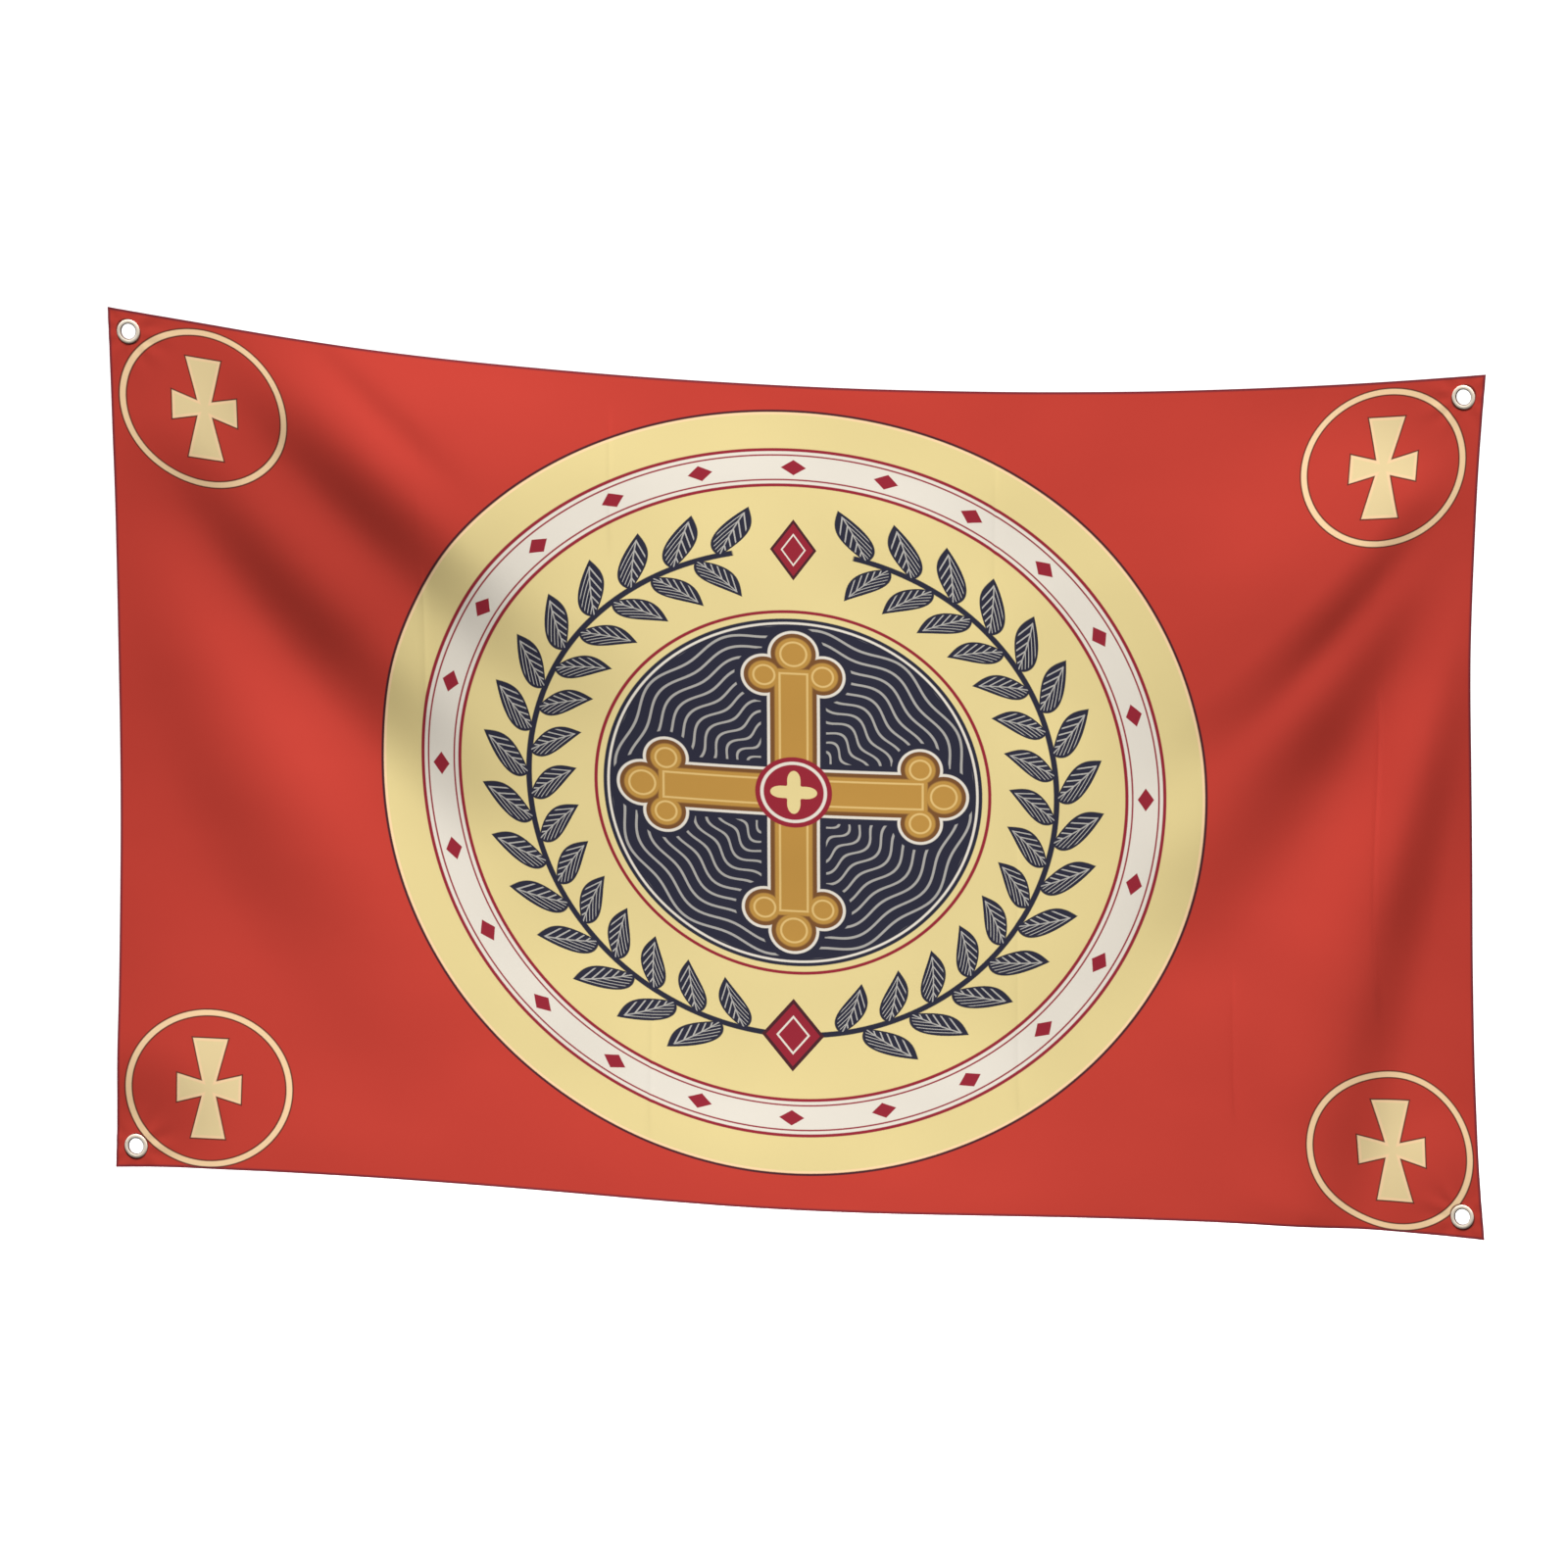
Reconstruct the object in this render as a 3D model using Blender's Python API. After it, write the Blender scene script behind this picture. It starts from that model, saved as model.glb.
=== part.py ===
"""A church banner of thin satin that hangs by the metal eyelets in its corners.

Metres, +Z up. The banner's face looks along -Y, and +X is to the right of someone who looks at it.
The origin is the middle of the hung cloth's top edge.
Places on the cloth are written as they lie before it is hung: u runs right from its middle,
and v runs up from its top edge, so v is negative all over the cloth.
"""

import math
from collections import namedtuple

import bmesh
import bpy
import numpy as np

# The cloth as it is cut
WIDTH = 1.500
HEIGHT = 0.900
CLOTH_THICK = 0.0012

# How it hangs
TOP_SAG = 0.047  # of the top edge's middle below its corners
BOTTOM_DIP = 0.011  # of the bottom edge's middle
BOTTOM_DIP_REACH = 0.30
BOTTOM_LIFT = 0.006  # of the rest of the bottom edge above its corners
BOTTOM_FLATNESS = 8  # a higher power lifts the bottom edge more evenly
LEFT_LEAN = 0.008  # of the lower left corner toward the right
LEFT_BOW = 0.007  # how far the side edges draw in
RIGHT_BOW = 0.017
BOW_FLATNESS = 2.5  # a higher power draws the sides in more evenly
CALM_INNER = 0.022  # round an eyelet the cloth is flat this far out
CALM_OUTER = 0.120  # and its folds have their full height from here on

# Eyelets
EYELET_INSET = 0.022  # centre to both edges of the cloth
HOLE_RADIUS = 0.0080
BARREL_RADIUS = 0.0087
FLANGE_RADIUS = 0.0125
WASHER_RADIUS = 0.0120
FLANGE_HIGH = 0.0017
WASHER_THICK = 0.0010
EYELET_SEGMENTS = 28
FLANGE_STEPS = 8  # along the round of the flange
SHARP_FROM = math.radians(35)

# Gaps between pieces that touch, and the mesh
GAP = 0.0003
CELL = 0.030
CORNER_CELLS = 2  # a corner square is this many cells wide
HOLE_FACET = 0.0001  # by which a facet of the cloth's hole lies inside its round
CLOTH_HOLE_RADIUS = BARREL_RADIUS + GAP + HOLE_FACET
FLAT_RING_RADIUS = 0.018
CORNER_STEPS = 8  # spokes to one side of a corner square
PATH_STEPS = 96

# Each fold runs along a smooth path through three places on the flat cloth. Its height, in
# millimetres at those places, is toward the viewer, and a furrow's is negative. Its two sides
# fall away over widths in millimetres, given at the path's start and at its end.
Fold = namedtuple("Fold", "name start middle end heights above below")
FOLDS = (
    Fold("billow", (-0.66, 0.04), (-0.40, -0.16), (0.12, -0.46), (0, 15, 0), (120, 340), (76, 150)),
    Fold("top pleat", (-0.57, 0.03), (-0.43, -0.085), (-0.33, -0.18), (0, -2, 0), (14, 24), (18, 26)),
    Fold("first roll", (-0.64, 0.03), (-0.445, -0.12), (-0.24, -0.31), (0, 8.5, 0), (110, 170), (42, 66)),
    Fold("first furrow", (-0.67, -0.03), (-0.49, -0.205), (-0.20, -0.46), (0, -4, 0), (26, 56), (50, 80)),
    Fold("second roll", (-0.71, -0.06), (-0.50, -0.275), (-0.24, -0.50), (0, 3, 0), (50, 90), (36, 66)),
    Fold("second furrow", (-0.725, -0.10), (-0.56, -0.36), (-0.20, -0.68), (0, -17, 0), (40, 100), (70, 200)),
    Fold("left crest", (-0.735, -0.16), (-0.61, -0.42), (-0.36, -0.76), (0, 7, 0), (34, 80), (40, 90)),
    Fold("left furrow", (-0.745, -0.26), (-0.66, -0.58), (-0.40, -0.88), (0, -8, 0), (44, 90), (70, 150)),
    Fold("right roll", (0.74, -0.02), (0.58, -0.225), (0.34, -0.42), (0, 11, 0), (60, 230), (28, 56)),
    Fold("right crease", (0.725, -0.11), (0.60, -0.275), (0.44, -0.43), (0, -3, 0), (14, 24), (18, 30)),
    Fold("right swag", (0.72, -0.15), (0.585, -0.325), (0.34, -0.62), (0, 5, 0), (24, 60), (30, 60)),
    Fold("right furrow", (0.735, -0.17), (0.605, -0.43), (0.38, -0.76), (0, -13, 0), (36, 84), (50, 110)),
    Fold("right crest", (0.745, -0.18), (0.672, -0.48), (0.56, -0.88), (0, 16, 6), (40, 66), (28, 44)),
    Fold("right edge fold", (0.76, -0.28), (0.712, -0.56), (0.62, -0.92), (0, -11, -8), (30, 46), (70, 110)),
    Fold("bottom swell", (-0.80, -0.93), (-0.05, -0.97), (0.62, -0.95), (8, 15, 6), (200, 210), (60, 60)),
)

# A corner's side is -1 on the left and 1 on the right, and its end is 0 at the top and 1 below
Corner = namedtuple("Corner", "name side end")
CORNERS = (
    Corner("top_left", -1, 0),
    Corner("top_right", 1, 0),
    Corner("bottom_left", -1, 1),
    Corner("bottom_right", 1, 1),
)

SATIN_RED = (0.50, 0.055, 0.045)
PALE_METAL = (0.72, 0.69, 0.62)


def clear_scene():
    for existing in list(bpy.data.objects):
        bpy.data.objects.remove(existing, do_unlink=True)


def eased(value):
    """0 to 1 without a corner at either end."""
    held = np.clip(value, 0, 1)
    return held * held * (3 - 2 * held)


def fold_path(start, middle, end):
    """Points along the smooth path that passes through three places."""
    start, middle, end = (np.array(place, float) for place in (start, middle, end))
    pull = 2 * middle - (start + end) / 2
    along = np.linspace(0, 1, PATH_STEPS + 1)[:, None]
    return start * (1 - along) ** 2 + 2 * pull * along * (1 - along) + end * along**2


def nearest_on_path(path, u, v):
    """How far each place is from a path, how far along it that is, and whether it lies above it."""
    distance = np.full(u.shape, np.inf)
    share = np.zeros(u.shape)
    above = np.zeros(u.shape, bool)
    rightward = 1 if path[-1][0] > path[0][0] else -1
    for step in range(PATH_STEPS):
        run_u, run_v = path[step + 1] - path[step]
        off_u, off_v = u - path[step][0], v - path[step][1]
        part = np.clip((off_u * run_u + off_v * run_v) / (run_u**2 + run_v**2), 0, 1)
        here = np.hypot(off_u - part * run_u, off_v - part * run_v)
        nearer = here < distance
        distance = np.where(nearer, here, distance)
        share = np.where(nearer, (step + part) / PATH_STEPS, share)
        above = np.where(nearer, rightward * (run_u * off_v - run_v * off_u) > 0, above)
    return distance, share, above


def fold_height(u, v):
    """How far the folds stand toward the viewer at places on the flat cloth."""
    height = np.zeros(u.shape)
    for fold in FOLDS:
        path = fold_path(fold.start, fold.middle, fold.end)
        distance, share, above = nearest_on_path(path, u, v)
        first, middle, last = fold.heights
        crown = first + (middle - first) * eased(share * 2) + (last - middle) * eased(share * 2 - 1)
        width_above = fold.above[0] + (fold.above[1] - fold.above[0]) * share
        width_below = fold.below[0] + (fold.below[1] - fold.below[0]) * share
        width = np.where(above, width_above, width_below)
        height += crown / 1000 * np.exp(-((distance / width * 1000) ** 2))
    return height


def eyelet_place(corner):
    """An eyelet's centre on the flat cloth."""
    return corner.side * (WIDTH / 2 - EYELET_INSET), -EYELET_INSET - corner.end * (HEIGHT - 2 * EYELET_INSET)


def free_of_eyelets(u, v):
    """0 round each eyelet, where the cloth is pulled flat, and 1 away from them."""
    free = np.ones(u.shape)
    for corner in CORNERS:
        eyelet_u, eyelet_v = eyelet_place(corner)
        away = np.hypot(u - eyelet_u, v - eyelet_v)
        free *= eased((away - CALM_INNER) / (CALM_OUTER - CALM_INNER))
    return free


def hung_from_corners(u, v):
    """Where places on the flat cloth hang, from the corners' own level and plane."""
    down = -v / HEIGHT
    out = u / (WIDTH / 2)
    top_sag = TOP_SAG * (1 - out**2)
    bottom_dip = BOTTOM_DIP * np.exp(-((u / BOTTOM_DIP_REACH) ** 2))
    bottom_sag = bottom_dip - BOTTOM_LIFT * (1 - out**BOTTOM_FLATNESS)
    drawn_in = 1 - np.abs(2 * down - 1) ** BOW_FLATNESS
    lean = LEFT_LEAN * down * np.clip(-out, 0, 1) ** 2
    x = u + lean - drawn_in * np.where(u < 0, LEFT_BOW, RIGHT_BOW) * out
    y = -fold_height(u, v) * free_of_eyelets(u, v)
    z = v - top_sag * (1 - down) - bottom_sag * down
    return np.stack([x, y, z], axis=-1)


def hung(u, v):
    """Where places on the flat cloth hang, with the middle of the top edge at the origin."""
    u, v = np.broadcast_arrays(np.asarray(u, float), np.asarray(v, float))
    return hung_from_corners(u, v) - hung_from_corners(np.zeros(1), np.zeros(1))[0]


def plain_material(name, colour, roughness, metallic):
    material = bpy.data.materials.new(name)
    material.use_nodes = True
    surface = material.node_tree.nodes["Principled BSDF"]
    surface.inputs["Base Color"].default_value = (*colour, 1)
    surface.inputs["Roughness"].default_value = roughness
    surface.inputs["Metallic"].default_value = metallic
    return material


def named_object(name, mesh, material):
    obj = bpy.data.objects.new(name, mesh)
    bpy.context.collection.objects.link(obj)
    mesh.materials.append(material)
    return obj


def cloth_object(name, sheet, material):
    """An object from a bmesh sheet whose faces look toward the viewer, with the cloth's thickness."""
    bmesh.ops.recalc_face_normals(sheet, faces=sheet.faces[:])
    if sum(face.normal.y * face.calc_area() for face in sheet.faces) > 0:
        bmesh.ops.reverse_faces(sheet, faces=sheet.faces[:])
    mesh = bpy.data.meshes.new(name)
    sheet.to_mesh(mesh)
    sheet.free()
    mesh.shade_smooth()
    obj = named_object(name, mesh, material)
    thick = obj.modifiers.new("Cloth thickness", "SOLIDIFY")
    thick.thickness = CLOTH_THICK
    thick.offset = 0
    thick.use_even_offset = True
    return obj


# The panel: the whole cloth but for its four corner squares
def make_cloth_panel(material):
    across, down = round(WIDTH / CELL), round(HEIGHT / CELL)
    sheet = bmesh.new()
    bmesh.ops.create_grid(sheet, x_segments=across, y_segments=down, size=0.5)
    for vert in sheet.verts:
        vert.co.x *= WIDTH
        vert.co.y = (vert.co.y - 0.5) * HEIGHT
    corner = CORNER_CELLS * CELL
    cut_out = []
    for face in sheet.faces:
        middle = face.calc_center_median()
        past_side = abs(middle.x) > WIDTH / 2 - corner
        past_end = abs(middle.y + HEIGHT / 2) > HEIGHT / 2 - corner
        if past_side and past_end:
            cut_out.append(face)
    bmesh.ops.delete(sheet, geom=cut_out, context="FACES")
    flat = np.array([vert.co for vert in sheet.verts])
    for vert, place in zip(sheet.verts, hung(flat[:, 0], flat[:, 1])):
        vert.co = place
    cloth_object("cloth_panel", sheet, material)


# A corner square: spokes from the eyelet's hole out to its four edges
def square_outline(corner):
    """Places on the flat cloth round a corner square, in order."""
    size = CORNER_CELLS * CELL - GAP
    outer_u, outer_v = corner.side * WIDTH / 2, -corner.end * HEIGHT
    inner_u, inner_v = outer_u - corner.side * size, outer_v - size * (1 - 2 * corner.end)
    turns = ((outer_u, outer_v), (inner_u, outer_v), (inner_u, inner_v), (outer_u, inner_v))
    places = []
    for (from_u, from_v), (to_u, to_v) in zip(turns, turns[1:] + turns[:1]):
        for step in range(CORNER_STEPS):
            part = step / CORNER_STEPS
            places.append((from_u + (to_u - from_u) * part, from_v + (to_v - from_v) * part))
    return places


def make_cloth_corner(corner, material):
    centre_flat = np.array(eyelet_place(corner))
    centre = hung(*centre_flat)
    sheet = bmesh.new()
    rings = ([], [], [], [])
    for edge_flat in np.array(square_outline(corner)):
        edge = hung(*edge_flat)
        outward = edge - centre
        outward[1] = 0
        outward /= np.linalg.norm(outward)
        reach = np.linalg.norm(edge_flat - centre_flat)
        halfway = (1 + FLAT_RING_RADIUS / reach) / 2
        rings[0].append(sheet.verts.new(centre + outward * CLOTH_HOLE_RADIUS))
        rings[1].append(sheet.verts.new(centre + outward * FLAT_RING_RADIUS))
        rings[2].append(sheet.verts.new(hung(*(centre_flat + (edge_flat - centre_flat) * halfway))))
        rings[3].append(sheet.verts.new(edge))
    for inner, outer in zip(rings, rings[1:]):
        for here in range(len(inner)):
            following = (here + 1) % len(inner)
            sheet.faces.new((inner[here], inner[following], outer[following], outer[here]))
    cloth_object("cloth_corner_" + corner.name, sheet, material)


# An eyelet: one turned ring with a rounded front flange, a barrel and a flat back washer
def eyelet_profile():
    """Radius and depth of the ring's outline, from the back edge of the hole round to it again."""
    front = -(CLOTH_THICK / 2 + GAP)
    back = CLOTH_THICK / 2 + GAP
    crown = front - FLANGE_HIGH
    flange_middle = (HOLE_RADIUS + FLANGE_RADIUS) / 2
    flange_half = (FLANGE_RADIUS - HOLE_RADIUS) / 2
    outline = [(HOLE_RADIUS, back + WASHER_THICK)]
    for step in range(FLANGE_STEPS + 1):
        turn = math.pi * (1 - step / FLANGE_STEPS)
        radius = flange_middle + flange_half * math.cos(turn)
        outline.append((radius, front + (crown - front) * math.sin(turn)))
    outline += [(BARREL_RADIUS, front), (BARREL_RADIUS, back)]
    outline += [(WASHER_RADIUS, back), (WASHER_RADIUS, back + WASHER_THICK)]
    return outline


def make_eyelet_mesh():
    ring = bmesh.new()
    outline = []
    for radius, depth in eyelet_profile():
        outline.append(ring.verts.new((radius, depth, 0)))
    edges = []
    for start, stop in zip(outline, outline[1:] + outline[:1]):
        edges.append(ring.edges.new((start, stop)))
    bmesh.ops.spin(
        ring,
        geom=outline + edges,
        cent=(0, 0, 0),
        axis=(0, 1, 0),
        angle=2 * math.pi,
        steps=EYELET_SEGMENTS,
        use_merge=True,
    )
    bmesh.ops.recalc_face_normals(ring, faces=ring.faces[:])
    mesh = bpy.data.meshes.new("eyelet")
    ring.to_mesh(mesh)
    ring.free()
    mesh.shade_smooth()
    mesh.set_sharp_from_angle(angle=SHARP_FROM)
    return mesh


def make_eyelets(material):
    mesh = make_eyelet_mesh()
    mesh.materials.append(material)
    for corner in CORNERS:
        eyelet = bpy.data.objects.new("eyelet_" + corner.name, mesh)
        bpy.context.collection.objects.link(eyelet)
        eyelet.location = hung(*eyelet_place(corner))


clear_scene()
satin = plain_material("satin cloth", SATIN_RED, 0.55, 0)
make_cloth_panel(satin)
for cloth_corner in CORNERS:
    make_cloth_corner(cloth_corner, satin)
make_eyelets(plain_material("eyelet metal", PALE_METAL, 0.3, 1))
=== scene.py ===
import math
from collections import namedtuple

import bmesh
import bpy
import numpy as np
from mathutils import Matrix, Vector, noise


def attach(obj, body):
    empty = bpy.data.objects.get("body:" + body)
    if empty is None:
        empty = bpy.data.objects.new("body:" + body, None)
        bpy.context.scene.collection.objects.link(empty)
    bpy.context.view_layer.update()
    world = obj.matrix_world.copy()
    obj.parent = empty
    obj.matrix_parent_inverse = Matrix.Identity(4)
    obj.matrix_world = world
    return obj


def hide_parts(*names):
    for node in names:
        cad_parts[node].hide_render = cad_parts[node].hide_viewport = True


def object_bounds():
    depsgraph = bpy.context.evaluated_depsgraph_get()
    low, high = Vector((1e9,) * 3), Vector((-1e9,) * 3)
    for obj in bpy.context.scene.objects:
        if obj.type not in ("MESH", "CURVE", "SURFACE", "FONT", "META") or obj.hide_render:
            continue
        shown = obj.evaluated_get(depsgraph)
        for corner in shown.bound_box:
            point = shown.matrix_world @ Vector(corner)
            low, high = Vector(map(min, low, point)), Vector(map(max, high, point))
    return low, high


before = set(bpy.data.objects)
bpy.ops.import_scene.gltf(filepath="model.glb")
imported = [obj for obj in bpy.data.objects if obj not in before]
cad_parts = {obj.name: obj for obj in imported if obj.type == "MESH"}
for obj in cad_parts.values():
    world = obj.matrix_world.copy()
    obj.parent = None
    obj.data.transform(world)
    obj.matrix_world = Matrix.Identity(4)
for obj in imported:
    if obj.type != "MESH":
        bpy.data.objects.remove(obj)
solid_low, solid_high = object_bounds()

# The photographer's place: in front of the banner, a little to its right and above it, and
# far back behind a long lens, so that near and far edges of the cloth look equally tall.
TURN_RIGHT = math.radians(18.8)
LOOK_DOWN = math.radians(8.7)
LENS = 1500
SENSOR = 36
SEEN_WIDE = 1.617
cloth_middle = Vector((0, 0, (solid_low.z + solid_high.z) / 2))
to_camera = Vector(
    (
        math.sin(TURN_RIGHT) * math.cos(LOOK_DOWN),
        -math.cos(TURN_RIGHT) * math.cos(LOOK_DOWN),
        math.sin(LOOK_DOWN),
    )
)
rightward = Vector((math.cos(TURN_RIGHT), math.sin(TURN_RIGHT), 0))
upward = to_camera.cross(rightward)
LEFT_OF_MIDDLE = 0.0100
BELOW_MIDDLE = 0.0093
aim = cloth_middle - rightward * LEFT_OF_MIDDLE - upward * BELOW_MIDDLE
camera = bpy.data.cameras.new("camera")
camera.sensor_width = SENSOR
camera.lens = LENS
camera.clip_end = 200
camera_stand = bpy.data.objects.new("camera", camera)
bpy.context.collection.objects.link(camera_stand)
camera_stand.location = aim + to_camera * (SEEN_WIDE * LENS / SENSOR)
camera_stand.rotation_mode = "QUATERNION"
camera_stand.rotation_quaternion = (-to_camera).to_track_quat("-Z", "Y")
bpy.context.scene.camera = camera_stand


# The cloth: one sheet of thin printed satin, cut 1.50 by 0.90 m with plain edges and hung by its
# corners. The top edge sags, folds run down from both upper corners, and faint creases stay from
# packing. Places are kept as they lie on the flat cloth: u right from its middle, v up from its top.
CLOTH_WIDE, CLOTH_HIGH = 1.500, 0.900
CLOTH_THICK = 0.0005
TOP_SAG = 0.047
BOTTOM_DIP = 0.011
BOTTOM_DIP_REACH = 0.30
BOTTOM_LIFT = 0.006
BOTTOM_FLATNESS = 8
LEFT_LEAN = 0.008
LEFT_BOW = 0.007
RIGHT_BOW = 0.017
BOW_FLATNESS = 2.5
EYELET_INSET = 0.022
CALM_INNER = 0.022
CALM_OUTER = 0.120
PATH_STEPS = 96

# Heights toward the viewer, and the widths above and below a fold at its two ends, are in mm
Fold = namedtuple("Fold", "name start middle end heights above below")
FOLDS = (
    Fold("billow", (-0.66, 0.04), (-0.40, -0.16), (0.12, -0.46), (0, 15, 0), (120, 340), (76, 150)),
    Fold("top pleat", (-0.57, 0.03), (-0.43, -0.085), (-0.33, -0.18), (0, -2, 0), (14, 24), (18, 26)),
    Fold("first roll", (-0.64, 0.03), (-0.445, -0.12), (-0.24, -0.31), (0, 8.5, 0), (110, 170), (42, 66)),
    Fold("first furrow", (-0.67, -0.03), (-0.49, -0.205), (-0.20, -0.46), (0, -4, 0), (26, 56), (50, 80)),
    Fold("second roll", (-0.71, -0.06), (-0.50, -0.275), (-0.24, -0.50), (0, 3, 0), (50, 90), (36, 66)),
    Fold("second furrow", (-0.725, -0.10), (-0.56, -0.36), (-0.20, -0.68), (0, -17, 0), (40, 100), (70, 200)),
    Fold("left crest", (-0.735, -0.16), (-0.61, -0.42), (-0.36, -0.76), (0, 7, 0), (34, 80), (40, 90)),
    Fold("left furrow", (-0.745, -0.26), (-0.66, -0.58), (-0.40, -0.88), (0, -8, 0), (44, 90), (70, 150)),
    Fold("right roll", (0.74, -0.02), (0.58, -0.225), (0.34, -0.42), (0, 11, 0), (60, 230), (28, 56)),
    Fold("right crease", (0.725, -0.11), (0.60, -0.275), (0.44, -0.43), (0, -3, 0), (14, 24), (18, 30)),
    Fold("right swag", (0.72, -0.15), (0.585, -0.325), (0.34, -0.62), (0, 5, 0), (24, 60), (30, 60)),
    Fold("right furrow", (0.735, -0.17), (0.605, -0.43), (0.38, -0.76), (0, -13, 0), (36, 84), (50, 110)),
    Fold("right crest", (0.745, -0.18), (0.672, -0.48), (0.56, -0.88), (0, 16, 6), (40, 66), (28, 44)),
    Fold("right edge fold", (0.76, -0.28), (0.712, -0.56), (0.62, -0.92), (0, -11, -8), (30, 46), (70, 110)),
    Fold("bottom swell", (-0.80, -0.93), (-0.05, -0.97), (0.62, -0.95), (8, 15, 6), (200, 210), (60, 60)),
)
Corner = namedtuple("Corner", "name side end")
CORNERS = (
    Corner("top_left", -1, 0),
    Corner("top_right", 1, 0),
    Corner("bottom_left", -1, 1),
    Corner("bottom_right", 1, 1),
)


def eased(value):
    held = np.clip(value, 0, 1)
    return held * held * (3 - 2 * held)


def fold_path(start, middle, end):
    start, middle, end = (np.array(place, float) for place in (start, middle, end))
    pull = 2 * middle - (start + end) / 2
    along = np.linspace(0, 1, PATH_STEPS + 1)[:, None]
    return start * (1 - along) ** 2 + 2 * pull * along * (1 - along) + end * along**2


def nearest_on_path(path, u, v):
    distance = np.full(u.shape, np.inf)
    share = np.zeros(u.shape)
    above = np.zeros(u.shape, bool)
    rightward_run = 1 if path[-1][0] > path[0][0] else -1
    for step in range(PATH_STEPS):
        run_u, run_v = path[step + 1] - path[step]
        off_u, off_v = u - path[step][0], v - path[step][1]
        part = np.clip((off_u * run_u + off_v * run_v) / (run_u**2 + run_v**2), 0, 1)
        here = np.hypot(off_u - part * run_u, off_v - part * run_v)
        nearer = here < distance
        distance = np.where(nearer, here, distance)
        share = np.where(nearer, (step + part) / PATH_STEPS, share)
        above = np.where(nearer, rightward_run * (run_u * off_v - run_v * off_u) > 0, above)
    return distance, share, above


def fold_height(u, v):
    height = np.zeros(u.shape)
    for fold in FOLDS:
        path = fold_path(fold.start, fold.middle, fold.end)
        distance, share, above = nearest_on_path(path, u, v)
        first, middle, last = fold.heights
        crown = first + (middle - first) * eased(share * 2) + (last - middle) * eased(share * 2 - 1)
        width_above = fold.above[0] + (fold.above[1] - fold.above[0]) * share
        width_below = fold.below[0] + (fold.below[1] - fold.below[0]) * share
        width = np.where(above, width_above, width_below)
        height += crown / 1000 * np.exp(-((distance / width * 1000) ** 2))
    return height


def eyelet_place(corner):
    u = corner.side * (CLOTH_WIDE / 2 - EYELET_INSET)
    v = -EYELET_INSET - corner.end * (CLOTH_HIGH - 2 * EYELET_INSET)
    return u, v


def free_of_eyelets(u, v):
    free = np.ones(u.shape)
    for corner in CORNERS:
        eyelet_u, eyelet_v = eyelet_place(corner)
        away = np.hypot(u - eyelet_u, v - eyelet_v)
        free *= eased((away - CALM_INNER) / (CALM_OUTER - CALM_INNER))
    return free


# Packing creases are short upright kinks with soft ends
Crease = namedtuple("Crease", "u top bottom height")
CREASES = (
    Crease(-0.406, -0.22, -0.42, 0.8),
    Crease(-0.199, -0.03, -0.20, 0.9),
    Crease(-0.155, -0.66, -0.84, 0.8),
    Crease(0.222, -0.06, -0.30, 0.9),
    Crease(0.249, -0.48, -0.80, 0.9),
    Crease(0.486, -0.62, -0.80, 0.9),
    Crease(0.648, -0.32, -0.68, 1.0),
)
CREASE_HALF = 0.004
CREASE_END = 0.05


def crease_height(u, v):
    height = np.zeros(u.shape)
    for crease in CREASES:
        ends = eased((crease.top - v) / CREASE_END) * eased((v - crease.bottom) / CREASE_END)
        height += crease.height / 1000 * ends * np.clip(1 - np.abs(u - crease.u) / CREASE_HALF, 0, 1)
    return height


# Round each eyelet the pinched cloth has short shallow puckers
PUCKERS = 9
PUCKER_HEIGHT = 0.0003
PUCKER_START, PUCKER_FULL, PUCKER_END = 0.0130, 0.022, 0.060
RIPPLE_HEIGHT = 0.0009
RIPPLE_SIZE = 0.11


def small_relief(u, v):
    height = crease_height(u, v) * free_of_eyelets(u, v)
    for corner in CORNERS:
        eyelet_u, eyelet_v = eyelet_place(corner)
        away = np.hypot(u - eyelet_u, v - eyelet_v)
        turn = np.arctan2(v - eyelet_v, u - eyelet_u)
        rise = (away - PUCKER_START) / (PUCKER_FULL - PUCKER_START)
        fall = (PUCKER_END - away) / (PUCKER_END - PUCKER_FULL)
        height += PUCKER_HEIGHT * np.cos(turn * PUCKERS) * eased(rise) * eased(fall)
    ripple = []
    for place_u, place_v in zip(u, v):
        ripple.append(noise.noise(Vector((place_u, place_v, 0)) / RIPPLE_SIZE))
    return height + RIPPLE_HEIGHT * np.array(ripple) * free_of_eyelets(u, v)


def hung_from_corners(u, v):
    down = -v / CLOTH_HIGH
    out = u / (CLOTH_WIDE / 2)
    top_sag = TOP_SAG * (1 - out**2)
    bottom_dip = BOTTOM_DIP * np.exp(-((u / BOTTOM_DIP_REACH) ** 2))
    bottom_sag = bottom_dip - BOTTOM_LIFT * (1 - out**BOTTOM_FLATNESS)
    drawn_in = 1 - np.abs(2 * down - 1) ** BOW_FLATNESS
    lean = LEFT_LEAN * down * np.clip(-out, 0, 1) ** 2
    x = u + lean - drawn_in * np.where(u < 0, LEFT_BOW, RIGHT_BOW) * out
    y = -fold_height(u, v) * free_of_eyelets(u, v)
    z = v - top_sag * (1 - down) - bottom_sag * down
    return np.stack([x, y, z], axis=-1)


def hung(u, v):
    return hung_from_corners(u, v) - hung_from_corners(np.zeros(1), np.zeros(1))[0]


# Threads of the mesh run closer together near the side edges, the eyelets and the creases
CELL = 0.0068
EDGE_CELL = 0.004
EDGE_STRIP = 0.048
CREASE_CLEARANCE = CREASE_HALF * 1.3


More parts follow.
